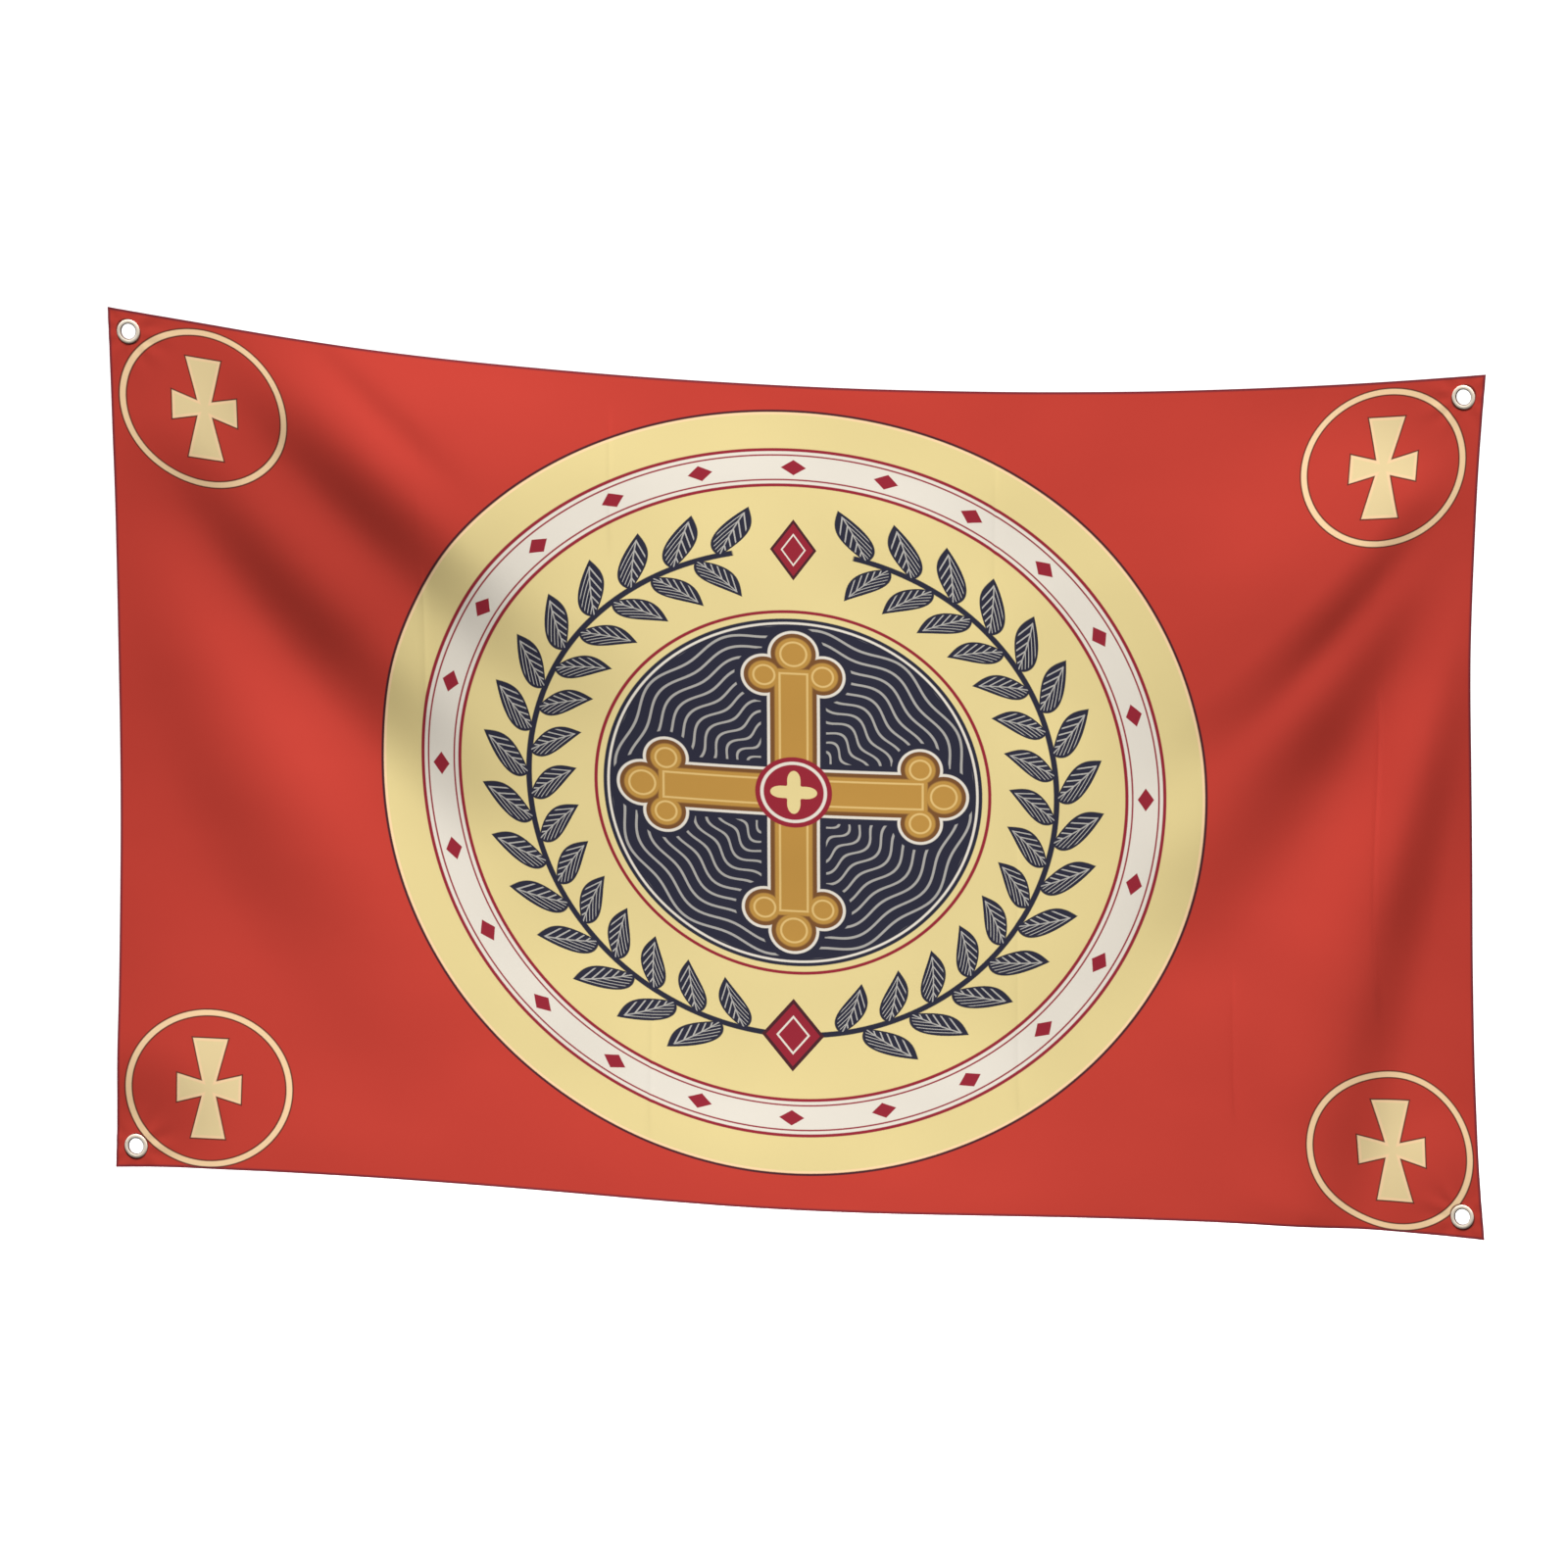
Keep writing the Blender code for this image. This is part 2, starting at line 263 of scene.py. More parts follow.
def mesh_lines(length, marks):
    """Places of the mesh lines from 0 to length, closer in the strips at both ends and at marks."""
    strip = np.arange(0, EDGE_STRIP, EDGE_CELL)
    middle = np.linspace(EDGE_STRIP, length - EDGE_STRIP, round((length - 2 * EDGE_STRIP) / CELL) + 1)
    lines = [*strip, *middle, *(length - strip[::-1])]
    for mark in marks:
        third = CREASE_HALF / 3
        lines = [line for line in lines if abs(line - mark) > CREASE_CLEARANCE]
        lines += [mark - CREASE_HALF, mark - third, mark, mark + third, mark + CREASE_HALF]
    return np.array(sorted(lines))


across = mesh_lines(CLOTH_WIDE, [crease.u + CLOTH_WIDE / 2 for crease in CREASES]) - CLOTH_WIDE / 2
upward_lines = mesh_lines(CLOTH_HIGH, []) - CLOTH_HIGH
sheet = bmesh.new()
bmesh.ops.create_grid(sheet, x_segments=len(across) - 1, y_segments=len(upward_lines) - 1, size=0.5)
for vert in sheet.verts:
    vert.co.x = across[round((vert.co.x + 0.5) * (len(across) - 1))]
    vert.co.y = upward_lines[round((vert.co.y + 0.5) * (len(upward_lines) - 1))]

# The punched holes, which the eyelets' rims cover
PUNCHED_RADIUS = 0.0100
for corner in CORNERS:
    hole_middle = Vector((*eyelet_place(corner), 0))
    punched = []
    for face in sheet.faces:
        if (face.calc_center_median() - hole_middle).length < PUNCHED_RADIUS:
            punched.append(face)
    bmesh.ops.delete(sheet, geom=punched, context="FACES")
    for vert in sheet.verts:
        away = vert.co - hole_middle
        if vert.is_boundary and away.length < PUNCHED_RADIUS * 2:
            vert.co = hole_middle + away.normalized() * PUNCHED_RADIUS

print_map = sheet.loops.layers.uv.new("print")
for face in sheet.faces:
    face.smooth = True
    for loop in face.loops:
        flat_place = loop.vert.co
        loop[print_map].uv = (flat_place.x / CLOTH_WIDE + 0.5, flat_place.y / CLOTH_HIGH + 1)
flat = np.array([vert.co for vert in sheet.verts])
places = hung(flat[:, 0], flat[:, 1])
places[:, 1] -= small_relief(flat[:, 0], flat[:, 1])
for vert, place in zip(sheet.verts, places):
    vert.co = place
for edge in sheet.edges:
    edge.smooth = not edge.is_boundary
bmesh.ops.recalc_face_normals(sheet, faces=sheet.faces[:])
if sum(face.normal.y * face.calc_area() for face in sheet.faces) > 0:
    bmesh.ops.reverse_faces(sheet, faces=sheet.faces[:])
cloth_mesh = bpy.data.meshes.new("cloth")
sheet.to_mesh(cloth_mesh)
sheet.free()
cloth = bpy.data.objects.new("cloth", cloth_mesh)
bpy.context.collection.objects.link(cloth)
cloth_thickness = cloth.modifiers.new("Cloth thickness", "SOLIDIFY")
cloth_thickness.thickness = CLOTH_THICK
cloth_thickness.offset = 0
cloth_thickness.use_even_offset = True
cloth_thickness.material_offset = 1
cloth_thickness.material_offset_rim = 2


# The print: dyes laid one over another on the face. A red field carries a round pale gold shield
# with a leafy wreath, a banded rim and a budded cross, and a ringed cross at each corner.
def dye(red, green, blue):
    """A colour as the dyer mixes it, from its 0 to 255 screen values."""
    shades = []
    for shade in (red, green, blue):
        share = shade / 255
        shades.append(share / 12.92 if share <= 0.04045 else ((share + 0.055) / 1.055) ** 2.4)
    return (*shades, 1)


FIELD_RED = dye(199, 58, 43)
FIELD_RED_WORN = dye(191, 53, 39)
SHIELD_GOLD = dye(232, 212, 148)
BAND_PALE = dye(232, 224, 210)
CRIMSON = dye(150, 24, 44)
MAROON = dye(72, 20, 30)
NAVY = dye(32, 32, 52)
NAVY_LIGHT = dye(196, 192, 184)
OCHRE = dye(190, 142, 62)
OCHRE_PALE = dye(226, 190, 118)
OCHRE_DEEP = dye(120, 76, 34)
RING_CREAM = dye(255, 216, 168)
RING_BROWN = dye(92, 34, 20)
RING_OLIVE = dye(238, 214, 160)
INK_EDGE = 0.0012  # how soft the edge of a printed shape is, on the cloth


class Printing:
    """A material's printed face, worked out from the places on the flat cloth."""

    def __init__(self, material, ground):
        self.nodes = material.node_tree.nodes
        self.links = material.node_tree.links
        self.colour = ground
        cloth_places = self.nodes.new("ShaderNodeUVMap")
        cloth_places.uv_map = "print"
        apart = self.nodes.new("ShaderNodeSeparateXYZ")
        self.links.new(cloth_places.outputs["UV"], apart.inputs[0])
        self.cloth_places = cloth_places.outputs["UV"]
        self.u = self.work("MULTIPLY_ADD", apart.outputs["X"], CLOTH_WIDE, -CLOTH_WIDE / 2)
        self.v = self.work("MULTIPLY_ADD", apart.outputs["Y"], CLOTH_HIGH, -CLOTH_HIGH)

    def work(self, operation, *values):
        node = self.nodes.new("ShaderNodeMath")
        node.operation = operation
        self.join(node.inputs, values)
        return node.outputs[0]

    def join(self, sockets, values):
        for socket, value in zip(sockets, values):
            if isinstance(value, bpy.types.NodeSocket):
                self.links.new(value, socket)
            else:
                socket.default_value = value

    def reach(self, x, y):
        """The length of a step x across and y up."""
        pair = self.nodes.new("ShaderNodeCombineXYZ")
        self.join(pair.inputs, (x, y))
        length = self.nodes.new("ShaderNodeVectorMath")
        length.operation = "LENGTH"
        self.links.new(pair.outputs[0], length.inputs[0])
        return length.outputs["Value"]

    def size(self, value):
        return self.work("ABSOLUTE", value)

    def off(self, value, middle):
        """How far a value is from a middle one, either way."""
        return self.size(self.work("SUBTRACT", value, middle))

    def inside(self, distance, edge):
        """1 where a distance is below 0, with a soft edge."""
        ramp = self.nodes.new("ShaderNodeMapRange")
        ramp.interpolation_type = "SMOOTHSTEP"
        self.join(ramp.inputs, (distance, edge / 2, -edge / 2, 0.0, 1.0))
        return ramp.outputs[0]

    def less(self, value, limit):
        return self.work("SUBTRACT", value, limit)

    def within(self, value, limit, edge):
        """1 where a value is below a limit, with a soft edge."""
        return self.inside(self.less(value, limit), edge)

    def both(self, one, other):
        return self.work("MULTIPLY", one, other)

    def lay(self, ink, where):
        """Prints an ink over what is there."""
        mix = self.nodes.new("ShaderNodeMix")
        mix.data_type = "RGBA"
        self.join((mix.inputs[0], mix.inputs[6], mix.inputs[7]), (where, self.colour, ink))
        self.colour = mix.outputs[2]

    def cloud(self, scale, detail, low, high):
        """Soft patches from 0 to 1 over the cloth."""
        patches = self.nodes.new("ShaderNodeTexNoise")
        patches.inputs["Scale"].default_value = scale
        patches.inputs["Detail"].default_value = detail
        self.links.new(self.cloth_places, patches.inputs["Vector"])
        ramp = self.nodes.new("ShaderNodeMapRange")
        self.join(ramp.inputs, (patches.outputs[0], low, high, 0.0, 1.0))
        return ramp.outputs[0]


# A ring at each corner with a flared cross, printed in cream with brown outlines
RING_FROM_SIDE = 0.1035
LOWER_RIGHT_OUTWARD = 0.0087
RING_FROM_TOP, RING_FROM_BOTTOM = 0.091, 0.0855
RING_HALF_WIDE, RING_HALF_HIGH = 0.0927, 0.0845
RING_NARROWING = 0.0036  # off the half width, for each metre to the right
RING_BAND = 0.100  # as a share of its radius
RING_LINE = 0.016
CROSS_HALF_WIDE, CROSS_HALF_HIGH = 0.036, 0.053
CROSS_WAIST, CROSS_FLARE = 0.0058, 0.26
CROSS_OUTLINE = 0.0014
CROSS_BORDER = 0.0028
EYELET_SHADE_REACH = 0.0136  # out to here a brown ring of painted shade lies round the rim
EYELET_SHADE_INK = 0.8


def print_corner_rings(face):
    between = (CLOTH_HIGH + RING_FROM_TOP - RING_FROM_BOTTOM) / 2
    apart = (CLOTH_HIGH - RING_FROM_TOP - RING_FROM_BOTTOM) / 2
    on_right = face.work("GREATER_THAN", face.u, 0)
    lower_right = face.both(on_right, face.work("LESS_THAN", face.v, -between))
    from_middle = CLOTH_WIDE / 2 - RING_FROM_SIDE
    middle_x = face.work("MULTIPLY_ADD", lower_right, LOWER_RIGHT_OUTWARD, from_middle)
    x = face.off(face.size(face.u), middle_x)
    y = face.off(face.off(face.v, -between), apart)
    half_wide = face.work("MULTIPLY_ADD", face.u, -RING_NARROWING, RING_HALF_WIDE)
    share = face.reach(face.work("DIVIDE", x, half_wide), face.work("DIVIDE", y, RING_HALF_HIGH))
    edge = INK_EDGE / RING_HALF_HIGH
    off_ring = face.off(share, 1 - RING_BAND / 2)
    face.lay(RING_BROWN, face.within(off_ring, RING_BAND / 2, edge))
    face.lay(RING_CREAM, face.within(off_ring, RING_BAND / 2 - RING_LINE, edge))
    upright = face.less(x, face.work("MULTIPLY_ADD", y, CROSS_FLARE, CROSS_WAIST))
    upright = face.work("MAXIMUM", upright, face.less(y, CROSS_HALF_HIGH))
    level = face.less(y, face.work("MULTIPLY_ADD", x, CROSS_FLARE, CROSS_WAIST))
    level = face.work("MAXIMUM", level, face.less(x, CROSS_HALF_WIDE))
    cross = face.work("MINIMUM", upright, level)
    face.lay(RING_BROWN, face.within(cross, CROSS_OUTLINE, INK_EDGE))
    face.lay(RING_CREAM, face.inside(cross, INK_EDGE))
    face.lay(RING_OLIVE, face.within(cross, -CROSS_BORDER, INK_EDGE * 2))
    # A brown ring of painted shade round each eyelet's rim, where the rim meets the cloth
    from_eyelet = face.reach(
        face.off(face.size(face.u), CLOTH_WIDE / 2 - EYELET_INSET),
        face.off(face.off(face.v, -CLOTH_HIGH / 2), CLOTH_HIGH / 2 - EYELET_INSET),
    )
    face.lay(RING_BROWN, face.both(face.within(from_eyelet, EYELET_SHADE_REACH, INK_EDGE), EYELET_SHADE_INK))


# The round shield. Inside it, lengths are shares of its radius.
SHIELD_MIDDLE = -0.4445
SHIELD_HALF_WIDE, SHIELD_HALF_HIGH = 0.4605, 0.4180
SHIELD_EDGE = INK_EDGE / SHIELD_HALF_HIGH
CREAM_RADIUS, GOLD_RADIUS = 0.994, 0.988


def print_shield(face):
    x = face.work("DIVIDE", face.u, SHIELD_HALF_WIDE)
    y = face.work("DIVIDE", face.less(face.v, SHIELD_MIDDLE), SHIELD_HALF_HIGH)
    share = face.reach(x, y)
    for ink, radius in ((MAROON, 1.0), (RING_CREAM, CREAM_RADIUS), (SHIELD_GOLD, GOLD_RADIUS)):
        face.lay(ink, face.within(share, radius, SHIELD_EDGE))
    print_band(face, x, y, share)
    print_wreath(face, x, y, share)
    print_medal(face, x, y, share)


BAND_MIDDLE, BAND_HALF = 0.850, 0.050
BAND_LINE = 0.008
INNER_LINE_IN, INNER_LINE_HALF = 0.018, 0.002
BAND_LOZENGES = 24
LOZENGE_HALF_LONG, LOZENGE_HALF_DEEP = 0.030, 0.020
LOZENGE_EDGE = SHIELD_EDGE * 40


def print_band(face, x, y, share):
    """A pale ring between double crimson lines, with a row of crimson lozenges."""
    off_band = face.off(share, BAND_MIDDLE)
    face.lay(CRIMSON, face.within(off_band, BAND_HALF, SHIELD_EDGE))
    face.lay(BAND_PALE, face.within(off_band, BAND_HALF - BAND_LINE, SHIELD_EDGE))
    off_line = face.off(off_band, BAND_HALF - INNER_LINE_IN)
    face.lay(CRIMSON, face.within(off_line, INNER_LINE_HALF, SHIELD_EDGE))
    turn = face.work("ARCTAN2", y, x)
    lozenges_per_turn = BAND_LOZENGES / (2 * math.pi)
    count = face.work("MULTIPLY_ADD", turn, lozenges_per_turn, 0.5 + BAND_LOZENGES)
    across = face.both(face.off(face.work("FRACT", count), 0.5), BAND_MIDDLE / lozenges_per_turn)
    lozenge = face.work(
        "ADD",
        face.work("DIVIDE", across, LOZENGE_HALF_LONG),
        face.work("DIVIDE", off_band, LOZENGE_HALF_DEEP),
    )
    face.lay(CRIMSON, face.within(lozenge, 1, LOZENGE_EDGE))


WREATH_RADIUS, LEAF_LONG, LEAF_HALF = 0.635, 0.115, 0.040
LEAVES_AROUND = 34
LEAF_LEAN = 0.75
LEAF_FULLNESS = 0.8  # below 1, a leaf is fullest near its stem
COUNTED_FROM, MIDDLE_LEAF, LEAVES_EACH_WAY = 20, 19, 7.5
BOUGH_HALF = 0.007
BOUGH_TOP, BOUGH_FOOT = math.radians(77), math.radians(-86)
BOUGH_END_EDGE = 0.01
VEIN_SLANT, VEIN_TURNS, VEIN_CREST = 1.4, 330, 0.72
LINE_SOFTNESS = 0.3  # of the fine veins and waves, as a share of their swing
MIDRIB_HALF = 0.0018
LEAF_BORDER, LEAF_DRAWN = 0.007, 0.88
VEIN_INK = 0.85
KNOT_HALF_WIDE, KNOT_HALF_HIGH = 0.075, 0.095
BUD_HALF_WIDE, BUD_HALF_HIGH = 0.055, 0.080
BUD_INSIDE, BUD_LINE, BUD_LINE_HALF = 0.86, 0.50, 0.04
BUD_EDGE = SHIELD_EDGE * 10


def print_wreath(face, x, y, share):
    """Two leafy boughs that rise from a knot at the bottom and meet below a bud at the top."""
    mirrored = face.size(x)
    turn = face.work("ARCTAN2", y, mirrored)
    out = face.less(share, WREATH_RADIUS)
    side = face.size(out)
    along = face.less(face.both(turn, WREATH_RADIUS), face.both(side, LEAF_LEAN))
    pitch = 2 * math.pi * WREATH_RADIUS / LEAVES_AROUND
    staggered = face.both(face.work("GREATER_THAN", out, 0), 0.5)
    count = face.work("ADD", face.work("MULTIPLY_ADD", along, 1 / pitch, COUNTED_FROM), staggered)
    leaf_number = face.work("MULTIPLY_ADD", staggered, -2, face.work("FLOOR", count))
    whole_leaves = face.work("LESS_THAN", face.off(leaf_number, MIDDLE_LEAF), LEAVES_EACH_WAY)
    across = face.both(face.off(face.work("FRACT", count), 0.5), pitch)
    down_leaf = face.work("POWER", face.work("DIVIDE", side, LEAF_LONG), LEAF_FULLNESS)
    swell = face.both(face.work("SINE", face.both(down_leaf, math.pi)), LEAF_HALF)
    leaf = face.less(across, swell)
    on_leaf = face.inside(face.work("MAXIMUM", leaf, face.less(side, LEAF_LONG)), SHIELD_EDGE)
    bough_ends = face.both(
        face.within(turn, BOUGH_TOP, BOUGH_END_EDGE),
        face.inside(face.less(BOUGH_FOOT, turn), BOUGH_END_EDGE),
    )
    on_bough = face.both(face.within(side, BOUGH_HALF, SHIELD_EDGE), bough_ends)
    face.lay(NAVY, face.work("MAXIMUM", face.both(on_leaf, whole_leaves), on_bough))
    veins = face.work("MULTIPLY_ADD", across, VEIN_SLANT, side)
    veins = face.work("SINE", face.both(veins, VEIN_TURNS))
    on_veins = face.inside(face.less(VEIN_CREST, veins), LINE_SOFTNESS)
    midrib = face.within(across, MIDRIB_HALF, SHIELD_EDGE)
    inner_leaf = face.within(leaf, -LEAF_BORDER, SHIELD_EDGE)
    below_tip = face.within(side, LEAF_LONG * LEAF_DRAWN, SHIELD_EDGE)
    drawn = face.both(face.both(inner_leaf, below_tip), whole_leaves)
    face.lay(NAVY_LIGHT, face.both(face.both(face.work("MAXIMUM", on_veins, midrib), drawn), VEIN_INK))
    for height, half_wide, half_high in (
        (-WREATH_RADIUS, KNOT_HALF_WIDE, KNOT_HALF_HIGH),
        (WREATH_RADIUS, BUD_HALF_WIDE, BUD_HALF_HIGH),
    ):
        bud = face.work(
            "ADD",
            face.work("DIVIDE", mirrored, half_wide),
            face.work("DIVIDE", face.off(y, height), half_high),
        )
        face.lay(MAROON, face.within(bud, 1.0, BUD_EDGE))
        face.lay(CRIMSON, face.within(bud, BUD_INSIDE, BUD_EDGE))
        face.lay(BAND_PALE, face.within(face.off(bud, BUD_LINE), BUD_LINE_HALF, BUD_EDGE))


MEDAL_RADIUS = 0.455
MEDAL_RING_OUT, MEDAL_RING_HALF = 0.018, 0.004
MEDAL_LINE_IN, MEDAL_LINE_HALF = 0.012, 0.003
WAVES_ALONG, WAVES_AROUND, WAVE_SWING = 34, 12, 0.35
WAVE_CREST, WAVE_MARGIN, WAVE_INK = 0.78, 0.02, 0.75
ARM_HALF, ARM_END = 0.052, 0.33
END_BUD_OUT, END_BUD_RADIUS = 0.362, 0.050
SIDE_BUD_OUT, SIDE_BUD_ASIDE, SIDE_BUD_RADIUS = 0.305, 0.070, 0.044
SHADOW_OUT, PALE_OUT, DEEP_OUT = 0.026, 0.011, 0.004
OCHRE_IN, FINE_LINE_IN, FINE_LINE_HALF = 0.007, 0.019, 0.0025
BOSS_RADIUS, BOSS_LINE, BOSS_LINE_HALF = 0.092, 0.076, 0.004
PETALS, PETAL_SWING, PETAL_REACH = 4, 0.016, 0.040


def print_medal(face, x, y, share):
    """A navy round with fine waved lines, and on it an ochre cross with budded ends."""
    off_ring = face.off(share, MEDAL_RADIUS + MEDAL_RING_OUT)
    face.lay(CRIMSON, face.within(off_ring, MEDAL_RING_HALF, SHIELD_EDGE))
    face.lay(NAVY, face.within(share, MEDAL_RADIUS, SHIELD_EDGE))
    turn = face.work("ARCTAN2", y, x)
    swing = face.both(face.work("SINE", face.both(turn, WAVES_AROUND)), WAVE_SWING)
    wave = face.work("MULTIPLY_ADD", share, WAVES_ALONG, swing)
    wave = face.work("SINE", face.both(wave, 2 * math.pi))
    clear_of_rim = face.off(share, MEDAL_RADIUS / 2)
    drawn = face.both(
        face.inside(face.less(WAVE_CREST, wave), LINE_SOFTNESS),
        face.within(clear_of_rim, MEDAL_RADIUS / 2 - WAVE_MARGIN, SHIELD_EDGE),
    )
    face.lay(NAVY_LIGHT, face.both(drawn, WAVE_INK))
    off_line = face.off(share, MEDAL_RADIUS - MEDAL_LINE_IN)
    face.lay(BAND_PALE, face.within(off_line, MEDAL_LINE_HALF, SHIELD_EDGE))
    arm = face.work("MAXIMUM", face.size(x), face.size(y))
    beside = face.work("MINIMUM", face.size(x), face.size(y))
    bar = face.work("MAXIMUM", face.less(beside, ARM_HALF), face.less(arm, ARM_END))
    end_bud = face.less(face.reach(face.less(arm, END_BUD_OUT), beside), END_BUD_RADIUS)
    side_bud = face.reach(face.less(arm, SIDE_BUD_OUT), face.less(beside, SIDE_BUD_ASIDE))
    cross = face.work("MINIMUM", bar, end_bud)
    cross = face.work("MINIMUM", cross, face.less(side_bud, SIDE_BUD_RADIUS))
    for ink, outward in ((NAVY, SHADOW_OUT), (BAND_PALE, PALE_OUT), (OCHRE_DEEP, DEEP_OUT)):
        face.lay(ink, face.within(cross, outward, SHIELD_EDGE))
    face.lay(OCHRE, face.within(cross, -OCHRE_IN, SHIELD_EDGE * 2))
    face.lay(OCHRE_PALE, face.within(face.off(cross, -FINE_LINE_IN), FINE_LINE_HALF, SHIELD_EDGE))
    face.lay(CRIMSON, face.within(share, BOSS_RADIUS, SHIELD_EDGE))
    face.lay(BAND_PALE, face.within(face.off(share, BOSS_LINE), BOSS_LINE_HALF, SHIELD_EDGE))
    petals = face.work("COSINE", face.both(turn, PETALS))
    petals = face.work("MULTIPLY_ADD", petals, PETAL_SWING, PETAL_REACH)
    face.lay(SHIELD_GOLD, face.within(share, petals, SHIELD_EDGE))


# The satin's own look: fine threads, a low sheen and slightly uneven dye. On the back the same
# print shows paler. The edges are darker: a thin dark purple line on both faces and a dark purple rim.
THREAD_PITCH = 0.0009
THREAD_HEIGHT = 0.00006
THREAD_BUMP = 0.35
WEFT_SHARE = 0.4
EDGE_PURPLE = dye(92, 26, 46)
EDGE_LINE, EDGE_LINE_INK = 0.0024, 0.75
WORN_INK = 0.5
BLEACH_PALE = dye(236, 214, 206)
BACK_BLEACH = 0.22
SATIN_SMOOTHEST, SATIN_ROUGHEST = 0.74, 0.84
SATIN_SPECULAR = 0.4


def satin(name, bleached):
    material = bpy.data.materials.new(name)
    material.use_nodes = True
    surface = material.node_tree.nodes["Principled BSDF"]
    face = Printing(material, FIELD_RED)
    face.lay(FIELD_RED_WORN, face.both(face.cloud(5, 3, 0.35, 0.65), WORN_INK))
    print_corner_rings(face)
    print_shield(face)
    from_edge = face.work(
        "MINIMUM",
        face.less(CLOTH_WIDE / 2, face.size(face.u)),
        face.less(CLOTH_HIGH / 2, face.off(face.v, -CLOTH_HIGH / 2)),
    )
    # A thin dark purple line along the edges
    face.lay(EDGE_PURPLE, face.both(face.within(from_edge, EDGE_LINE, INK_EDGE * 2), EDGE_LINE_INK))
    face.lay(BLEACH_PALE, bleached)
    face.links.new(face.colour, surface.inputs["Base Color"])
    thread_turns = 2 * math.pi / THREAD_PITCH
    warp = face.work("SINE", face.both(face.u, thread_turns))
    weft = face.work("SINE", face.both(face.v, thread_turns))
    threads = face.work("MULTIPLY_ADD", weft, WEFT_SHARE, warp)
    bump = face.nodes.new("ShaderNodeBump")
    bump.inputs["Strength"].default_value = THREAD_BUMP
    bump.inputs["Distance"].default_value = THREAD_HEIGHT
    face.links.new(threads, bump.inputs["Height"])
    face.links.new(bump.outputs["Normal"], surface.inputs["Normal"])
    dull = face.nodes.new("ShaderNodeMapRange")
    patches = face.cloud(9, 2, 0.3, 0.7)
    face.join(dull.inputs, (patches, 0.0, 1.0, SATIN_SMOOTHEST, SATIN_ROUGHEST))
    face.links.new(dull.outputs[0], surface.inputs["Roughness"])
    surface.inputs["Specular IOR Level"].default_value = SATIN_SPECULAR
    return material


def plain_edge(name):
    material = bpy.data.materials.new(name)
    material.use_nodes = True
    surface = material.node_tree.nodes["Principled BSDF"]
    surface.inputs["Base Color"].default_value = EDGE_PURPLE
    surface.inputs["Roughness"].default_value = 0.8
    return material


cloth_mesh.materials.append(satin("printed satin", 0.0))
cloth_mesh.materials.append(satin("satin back", BACK_BLEACH))
cloth_mesh.materials.append(plain_edge("darkened edge"))
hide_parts("cloth_panel", *("cloth_corner_" + corner.name for corner in CORNERS))
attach(cloth, "root")


# The eyelets: a pressed metal grommet in each corner, its rim rolled over the face of the cloth
# and its barrel turned out over a flat washer on the back. Pale nickel with uneven tarnish, its
# near-white colour partly the metal's own and partly a painted reflection of a white room.
HOLE_RADIUS = 0.0080
RIM_RADIUS = 0.0125
RIM_HIGH = 0.0013
BARREL_OUTER = 0.0086
WASHER_OUTER = 0.0120
WASHER_THICK = 0.0005
TURNED_OUT = 0.0098
EYELET_SEGMENTS = 72
RIM_STEPS, RIM_LIP, RIM_TUCK = 16, 0.0002, 0.0003
CURL_STEPS, CURL_GAP, CURL_HIGH = 8, 0.0001, 0.0009
WASHER_ROUNDING = WASHER_THICK * 0.35


def grommet_outline():
    """Radius and depth, from the rim's outer lip over its crown, down the hole and out at the back."""
    face_side, back_side = -CLOTH_THICK / 2, CLOTH_THICK / 2 + WASHER_THICK
    middle, half = (HOLE_RADIUS + RIM_RADIUS) / 2, (RIM_RADIUS - HOLE_RADIUS) / 2
    outline = []
    for step in range(RIM_STEPS + 1):
        turn = math.pi * step / RIM_STEPS
        depth = face_side - RIM_LIP - (RIM_HIGH - RIM_LIP) * math.sin(turn)
        outline.append((middle + half * math.cos(turn), depth))
    curl = (TURNED_OUT - HOLE_RADIUS) / 2
    for step in range(CURL_STEPS + 1):
        turn = math.pi * (1 + step / CURL_STEPS)
        depth = back_side + CURL_GAP - CURL_HIGH * math.sin(turn)
        outline.append((HOLE_RADIUS + curl + curl * math.cos(turn), depth))
    outline.append((BARREL_OUTER, back_side))
    outline.append((BARREL_OUTER, face_side))
    outline.append((RIM_RADIUS - RIM_TUCK, face_side))
    return outline


def washer_outline():
    low = CLOTH_THICK / 2
    high = low + WASHER_THICK
    return [
        (BARREL_OUTER, low),
        (WASHER_OUTER, low),
        (WASHER_OUTER, high - WASHER_ROUNDING),
        (WASHER_OUTER - WASHER_ROUNDING, high),
        (BARREL_OUTER, high),
    ]


def turned(name, outline, middle, materials):
    """A ring spun from its outline round an eyelet's own axis, its barrel in the second material."""
    ring = bmesh.new()
    points = [ring.verts.new((radius, depth, 0)) for radius, depth in outline]
    rounds = [ring.edges.new(pair) for pair in zip(points, points[1:] + points[:1])]
    bmesh.ops.spin(
        ring,
        geom=points + rounds,
        cent=(0, 0, 0),
        axis=(0, 1, 0),
        angle=2 * math.pi,
        steps=EYELET_SEGMENTS,
        use_merge=True,
    )
    bmesh.ops.recalc_face_normals(ring, faces=ring.faces[:])
    for face in ring.faces:
        reach_out = max(math.hypot(vert.co.x, vert.co.z) for vert in face.verts)
        # Faces inside the hole take the second material, which paints shade on the barrel in dark brown
        in_hole = reach_out < BARREL_OUTER + CURL_GAP
        face.material_index = 1 if in_hole and len(materials) > 1 else 0
    bmesh.ops.translate(ring, verts=ring.verts[:], vec=middle)
    mesh = bpy.data.meshes.new(name)
    ring.to_mesh(mesh)
    ring.free()
    mesh.shade_smooth()
    mesh.set_sharp_from_angle(angle=math.radians(40))
    for material in materials:
        mesh.materials.append(material)
    piece = bpy.data.objects.new(name, mesh)
    bpy.context.collection.objects.link(piece)
    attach(piece, "root")
    return piece
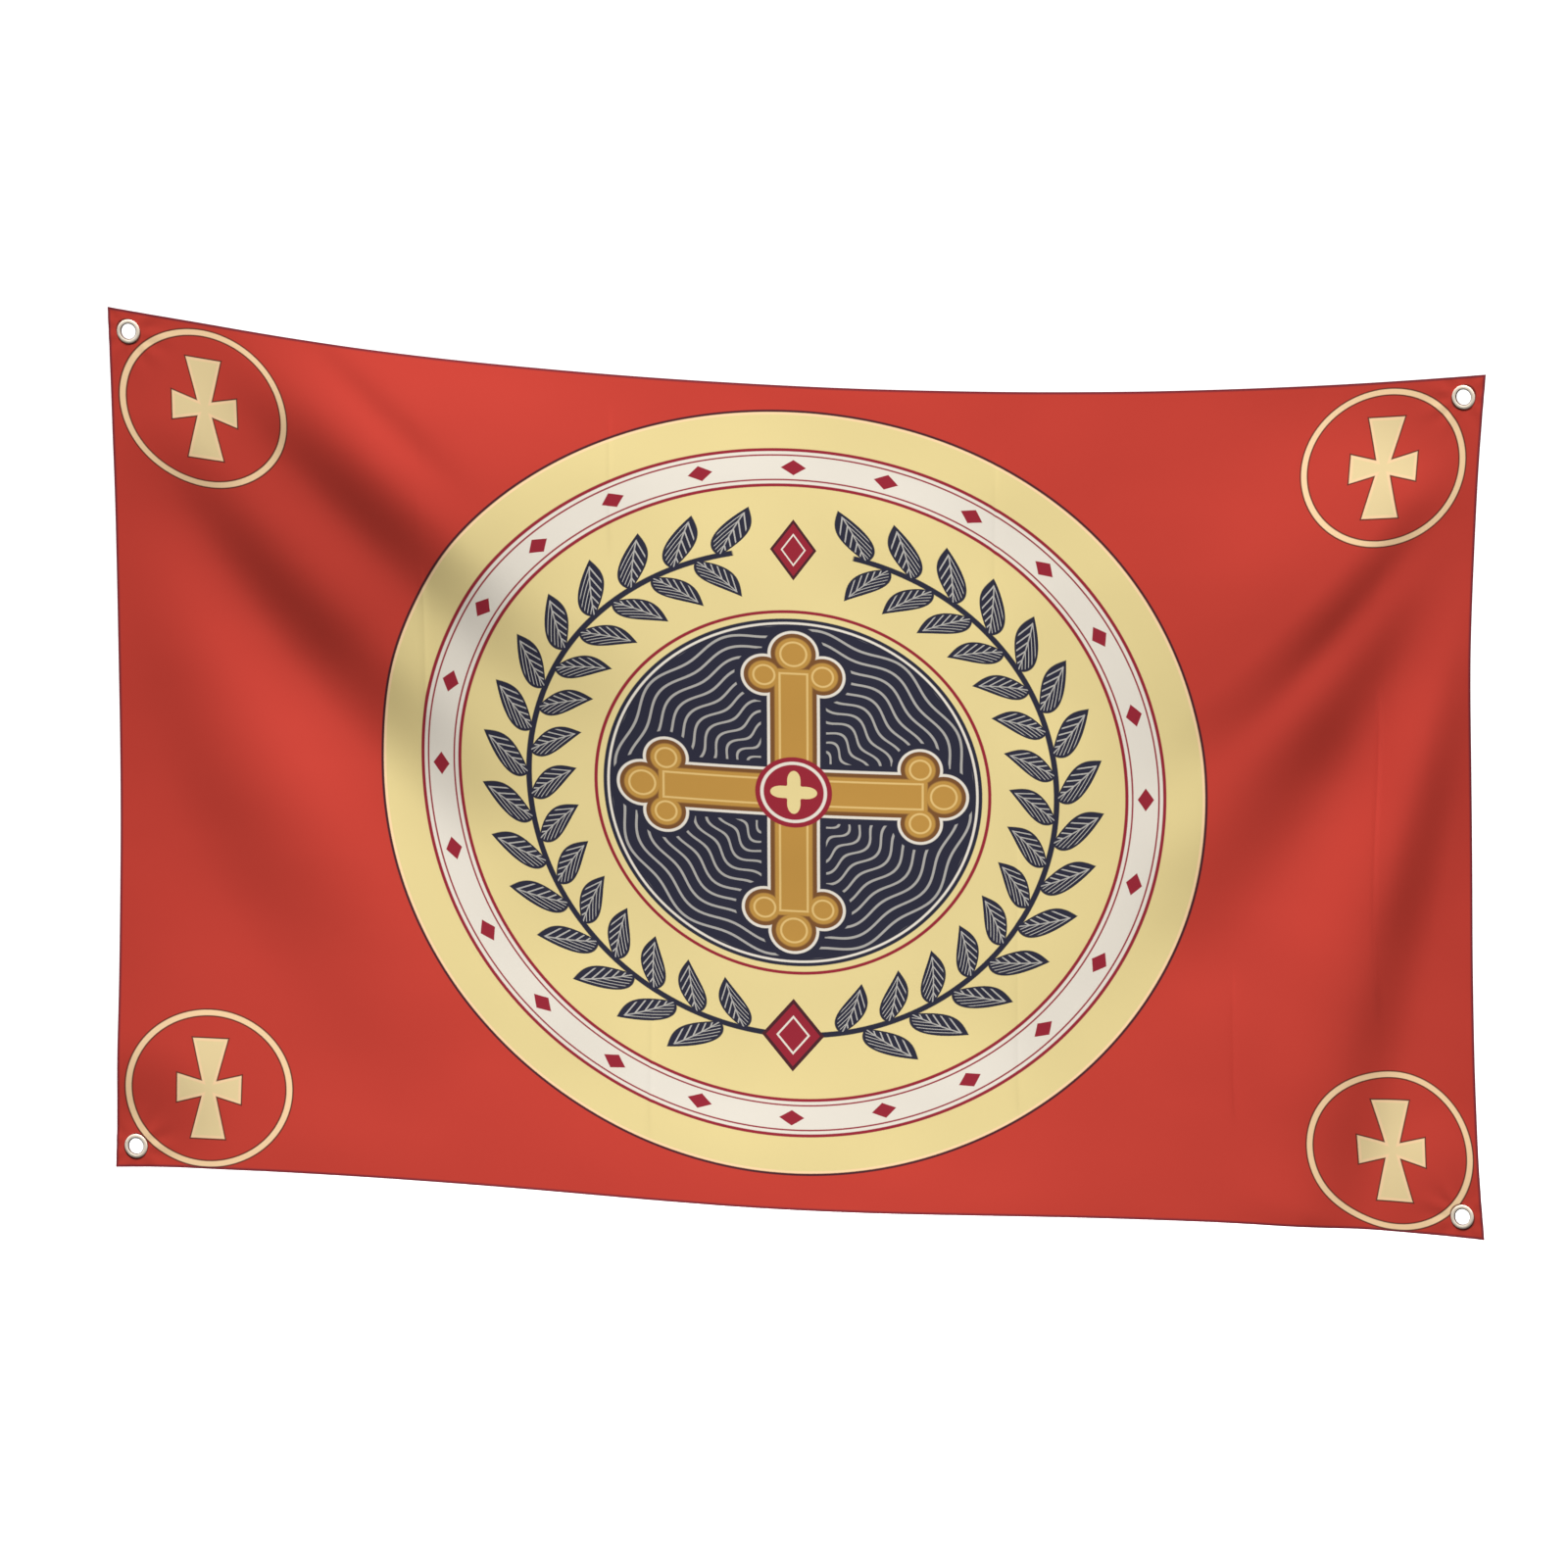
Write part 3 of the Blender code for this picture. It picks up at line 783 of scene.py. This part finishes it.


# Near-white and barely metallic: the colour is partly the metal's own and partly a painted reflection of a
# white room
NICKEL_METAL = 0.15
NICKEL_DEEP, NICKEL_BRIGHT = dye(242, 226, 204), dye(252, 240, 222)
NICKEL_SMOOTHEST, NICKEL_ROUGHEST = 0.38, 0.50
# The barrel inside the hole is painted dark brown as shade
BARREL_SHADE_BROWN = dye(96, 66, 54)


def nickel():
    material = bpy.data.materials.new("pale nickel and painted reflection")
    material.use_nodes = True
    nodes, links = material.node_tree.nodes, material.node_tree.links
    surface = nodes["Principled BSDF"]
    surface.inputs["Metallic"].default_value = NICKEL_METAL
    coordinates = nodes.new("ShaderNodeTexCoord")
    tarnish = nodes.new("ShaderNodeTexNoise")
    tarnish.inputs["Scale"].default_value = 180
    tarnish.inputs["Detail"].default_value = 4
    links.new(coordinates.outputs["Object"], tarnish.inputs["Vector"])
    tint = nodes.new("ShaderNodeValToRGB")
    tint.color_ramp.elements[0].position = 0.35
    tint.color_ramp.elements[0].color = NICKEL_DEEP
    tint.color_ramp.elements[1].position = 0.65
    tint.color_ramp.elements[1].color = NICKEL_BRIGHT
    links.new(tarnish.outputs[0], tint.inputs[0])
    links.new(tint.outputs[0], surface.inputs["Base Color"])
    rubbed = nodes.new("ShaderNodeMapRange")
    rubbed.inputs["To Min"].default_value = NICKEL_SMOOTHEST
    rubbed.inputs["To Max"].default_value = NICKEL_ROUGHEST
    links.new(tarnish.outputs[0], rubbed.inputs[0])
    links.new(rubbed.outputs[0], surface.inputs["Roughness"])
    return material


def shaded_barrel():
    material = bpy.data.materials.new("barrel painted shade")
    material.use_nodes = True
    surface = material.node_tree.nodes["Principled BSDF"]
    surface.inputs["Base Color"].default_value = BARREL_SHADE_BROWN
    surface.inputs["Roughness"].default_value = 0.6
    return material


eyelet_metals = [nickel(), shaded_barrel()]
for corner in CORNERS:
    eyelet_u, eyelet_v = eyelet_place(corner)
    eyelet_middle = Vector(hung(np.array([eyelet_u]), np.array([eyelet_v]))[0])
    grommet = turned("grommet_" + corner.name, grommet_outline(), eyelet_middle, eyelet_metals)
    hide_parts("eyelet_" + corner.name)
    turned("washer_" + corner.name, washer_outline(), eyelet_middle, eyelet_metals[:1])


# The studio: a pale floor below the banner and a white room behind it, which throw no light on the
# cloth. Even light comes from front and back, a soft spot from above rakes across the folds, and a
# second one shines on the back.
FLOOR_LEVEL = -1.25
FLOOR_HALF = 70
floor_grid = bmesh.new()
bmesh.ops.create_grid(floor_grid, x_segments=1, y_segments=1, size=FLOOR_HALF)
bmesh.ops.translate(floor_grid, verts=floor_grid.verts[:], vec=(0, 0, FLOOR_LEVEL))
floor_mesh = bpy.data.meshes.new("floor")
floor_grid.to_mesh(floor_mesh)
floor_grid.free()
floor = bpy.data.objects.new("floor", floor_mesh)
bpy.context.collection.objects.link(floor)
floor_paint = bpy.data.materials.new("pale floor")
floor_paint.use_nodes = True
floor_surface = floor_paint.node_tree.nodes["Principled BSDF"]
floor_surface.inputs["Base Color"].default_value = (0.8, 0.8, 0.8, 1)
floor_surface.inputs["Roughness"].default_value = 0.9
floor_mesh.materials.append(floor_paint)
floor.visible_diffuse = False
floor.visible_glossy = False
floor.visible_shadow = False

room = bpy.data.worlds.new("room")
room.use_nodes = True
room_white = room.node_tree.nodes["Background"]
room_white.inputs["Color"].default_value = (1, 1, 1, 1)
room_white.inputs["Strength"].default_value = 1.0
room.cycles_visibility.diffuse = False
room.cycles_visibility.glossy = False
bpy.context.scene.world = room
bpy.context.scene.view_settings.view_transform = "Standard"

EVEN_LIGHT = 0.52
FLOOR_LIGHT = 4.2


def even_light(name, strength, shines):
    """Light of one strength from the half of the room that it shines away from."""
    light = bpy.data.lights.new(name, "SUN")
    light.energy = strength
    light.angle = math.radians(180)
    stand = bpy.data.objects.new(name, light)
    stand.rotation_euler = Vector(shines).to_track_quat("-Z", "Y").to_euler()
    bpy.context.collection.objects.link(stand)
    return stand


even_light("light from the front", EVEN_LIGHT, (0, 1, 0))
even_light("light from behind", EVEN_LIGHT, (0, -1, 0))
floor_light = even_light("light on the floor", FLOOR_LIGHT, (0, 0, -1))
lit_by_it = bpy.data.collections.new("lit by the floor light")
lit_by_it.objects.link(floor)
floor_light.light_linking.receiver_collection = lit_by_it
floor_light.light_linking.blocker_collection = lit_by_it

SPOT_FAR = 14
SPOT_SOFTNESS = math.radians(12)
SPOT_CONE = math.radians(14)
KEY_POWER, BACK_POWER = 19000, 10500
KEY_OFF_FACE, KEY_ROLL = math.radians(70), math.radians(86)
BACK_OFF_FACE, BACK_ROLL = math.radians(128), math.radians(64)


def soft_spot(name, from_side, power):
    """A soft spot that shines on the cloth from a direction, given as a unit vector toward it."""
    light = bpy.data.lights.new(name, "SPOT")
    light.energy = power
    light.spot_size = SPOT_CONE
    light.spot_blend = 0.2
    light.shadow_soft_size = SPOT_FAR * math.tan(SPOT_SOFTNESS / 2)
    stand = bpy.data.objects.new(name, light)
    stand.location = cloth_middle + from_side * SPOT_FAR
    stand.rotation_euler = from_side.to_track_quat("Z", "Y").to_euler()
    bpy.context.collection.objects.link(stand)


def off_the_face(off_face, roll):
    """A direction so far off the way the cloth faces, and rolled so far up from the right."""
    return Vector(
        (
            math.sin(off_face) * math.cos(roll),
            -math.cos(off_face),
            math.sin(off_face) * math.sin(roll),
        )
    )


soft_spot("key light", off_the_face(KEY_OFF_FACE, KEY_ROLL), KEY_POWER)
soft_spot("back light", off_the_face(BACK_OFF_FACE, BACK_ROLL), BACK_POWER)
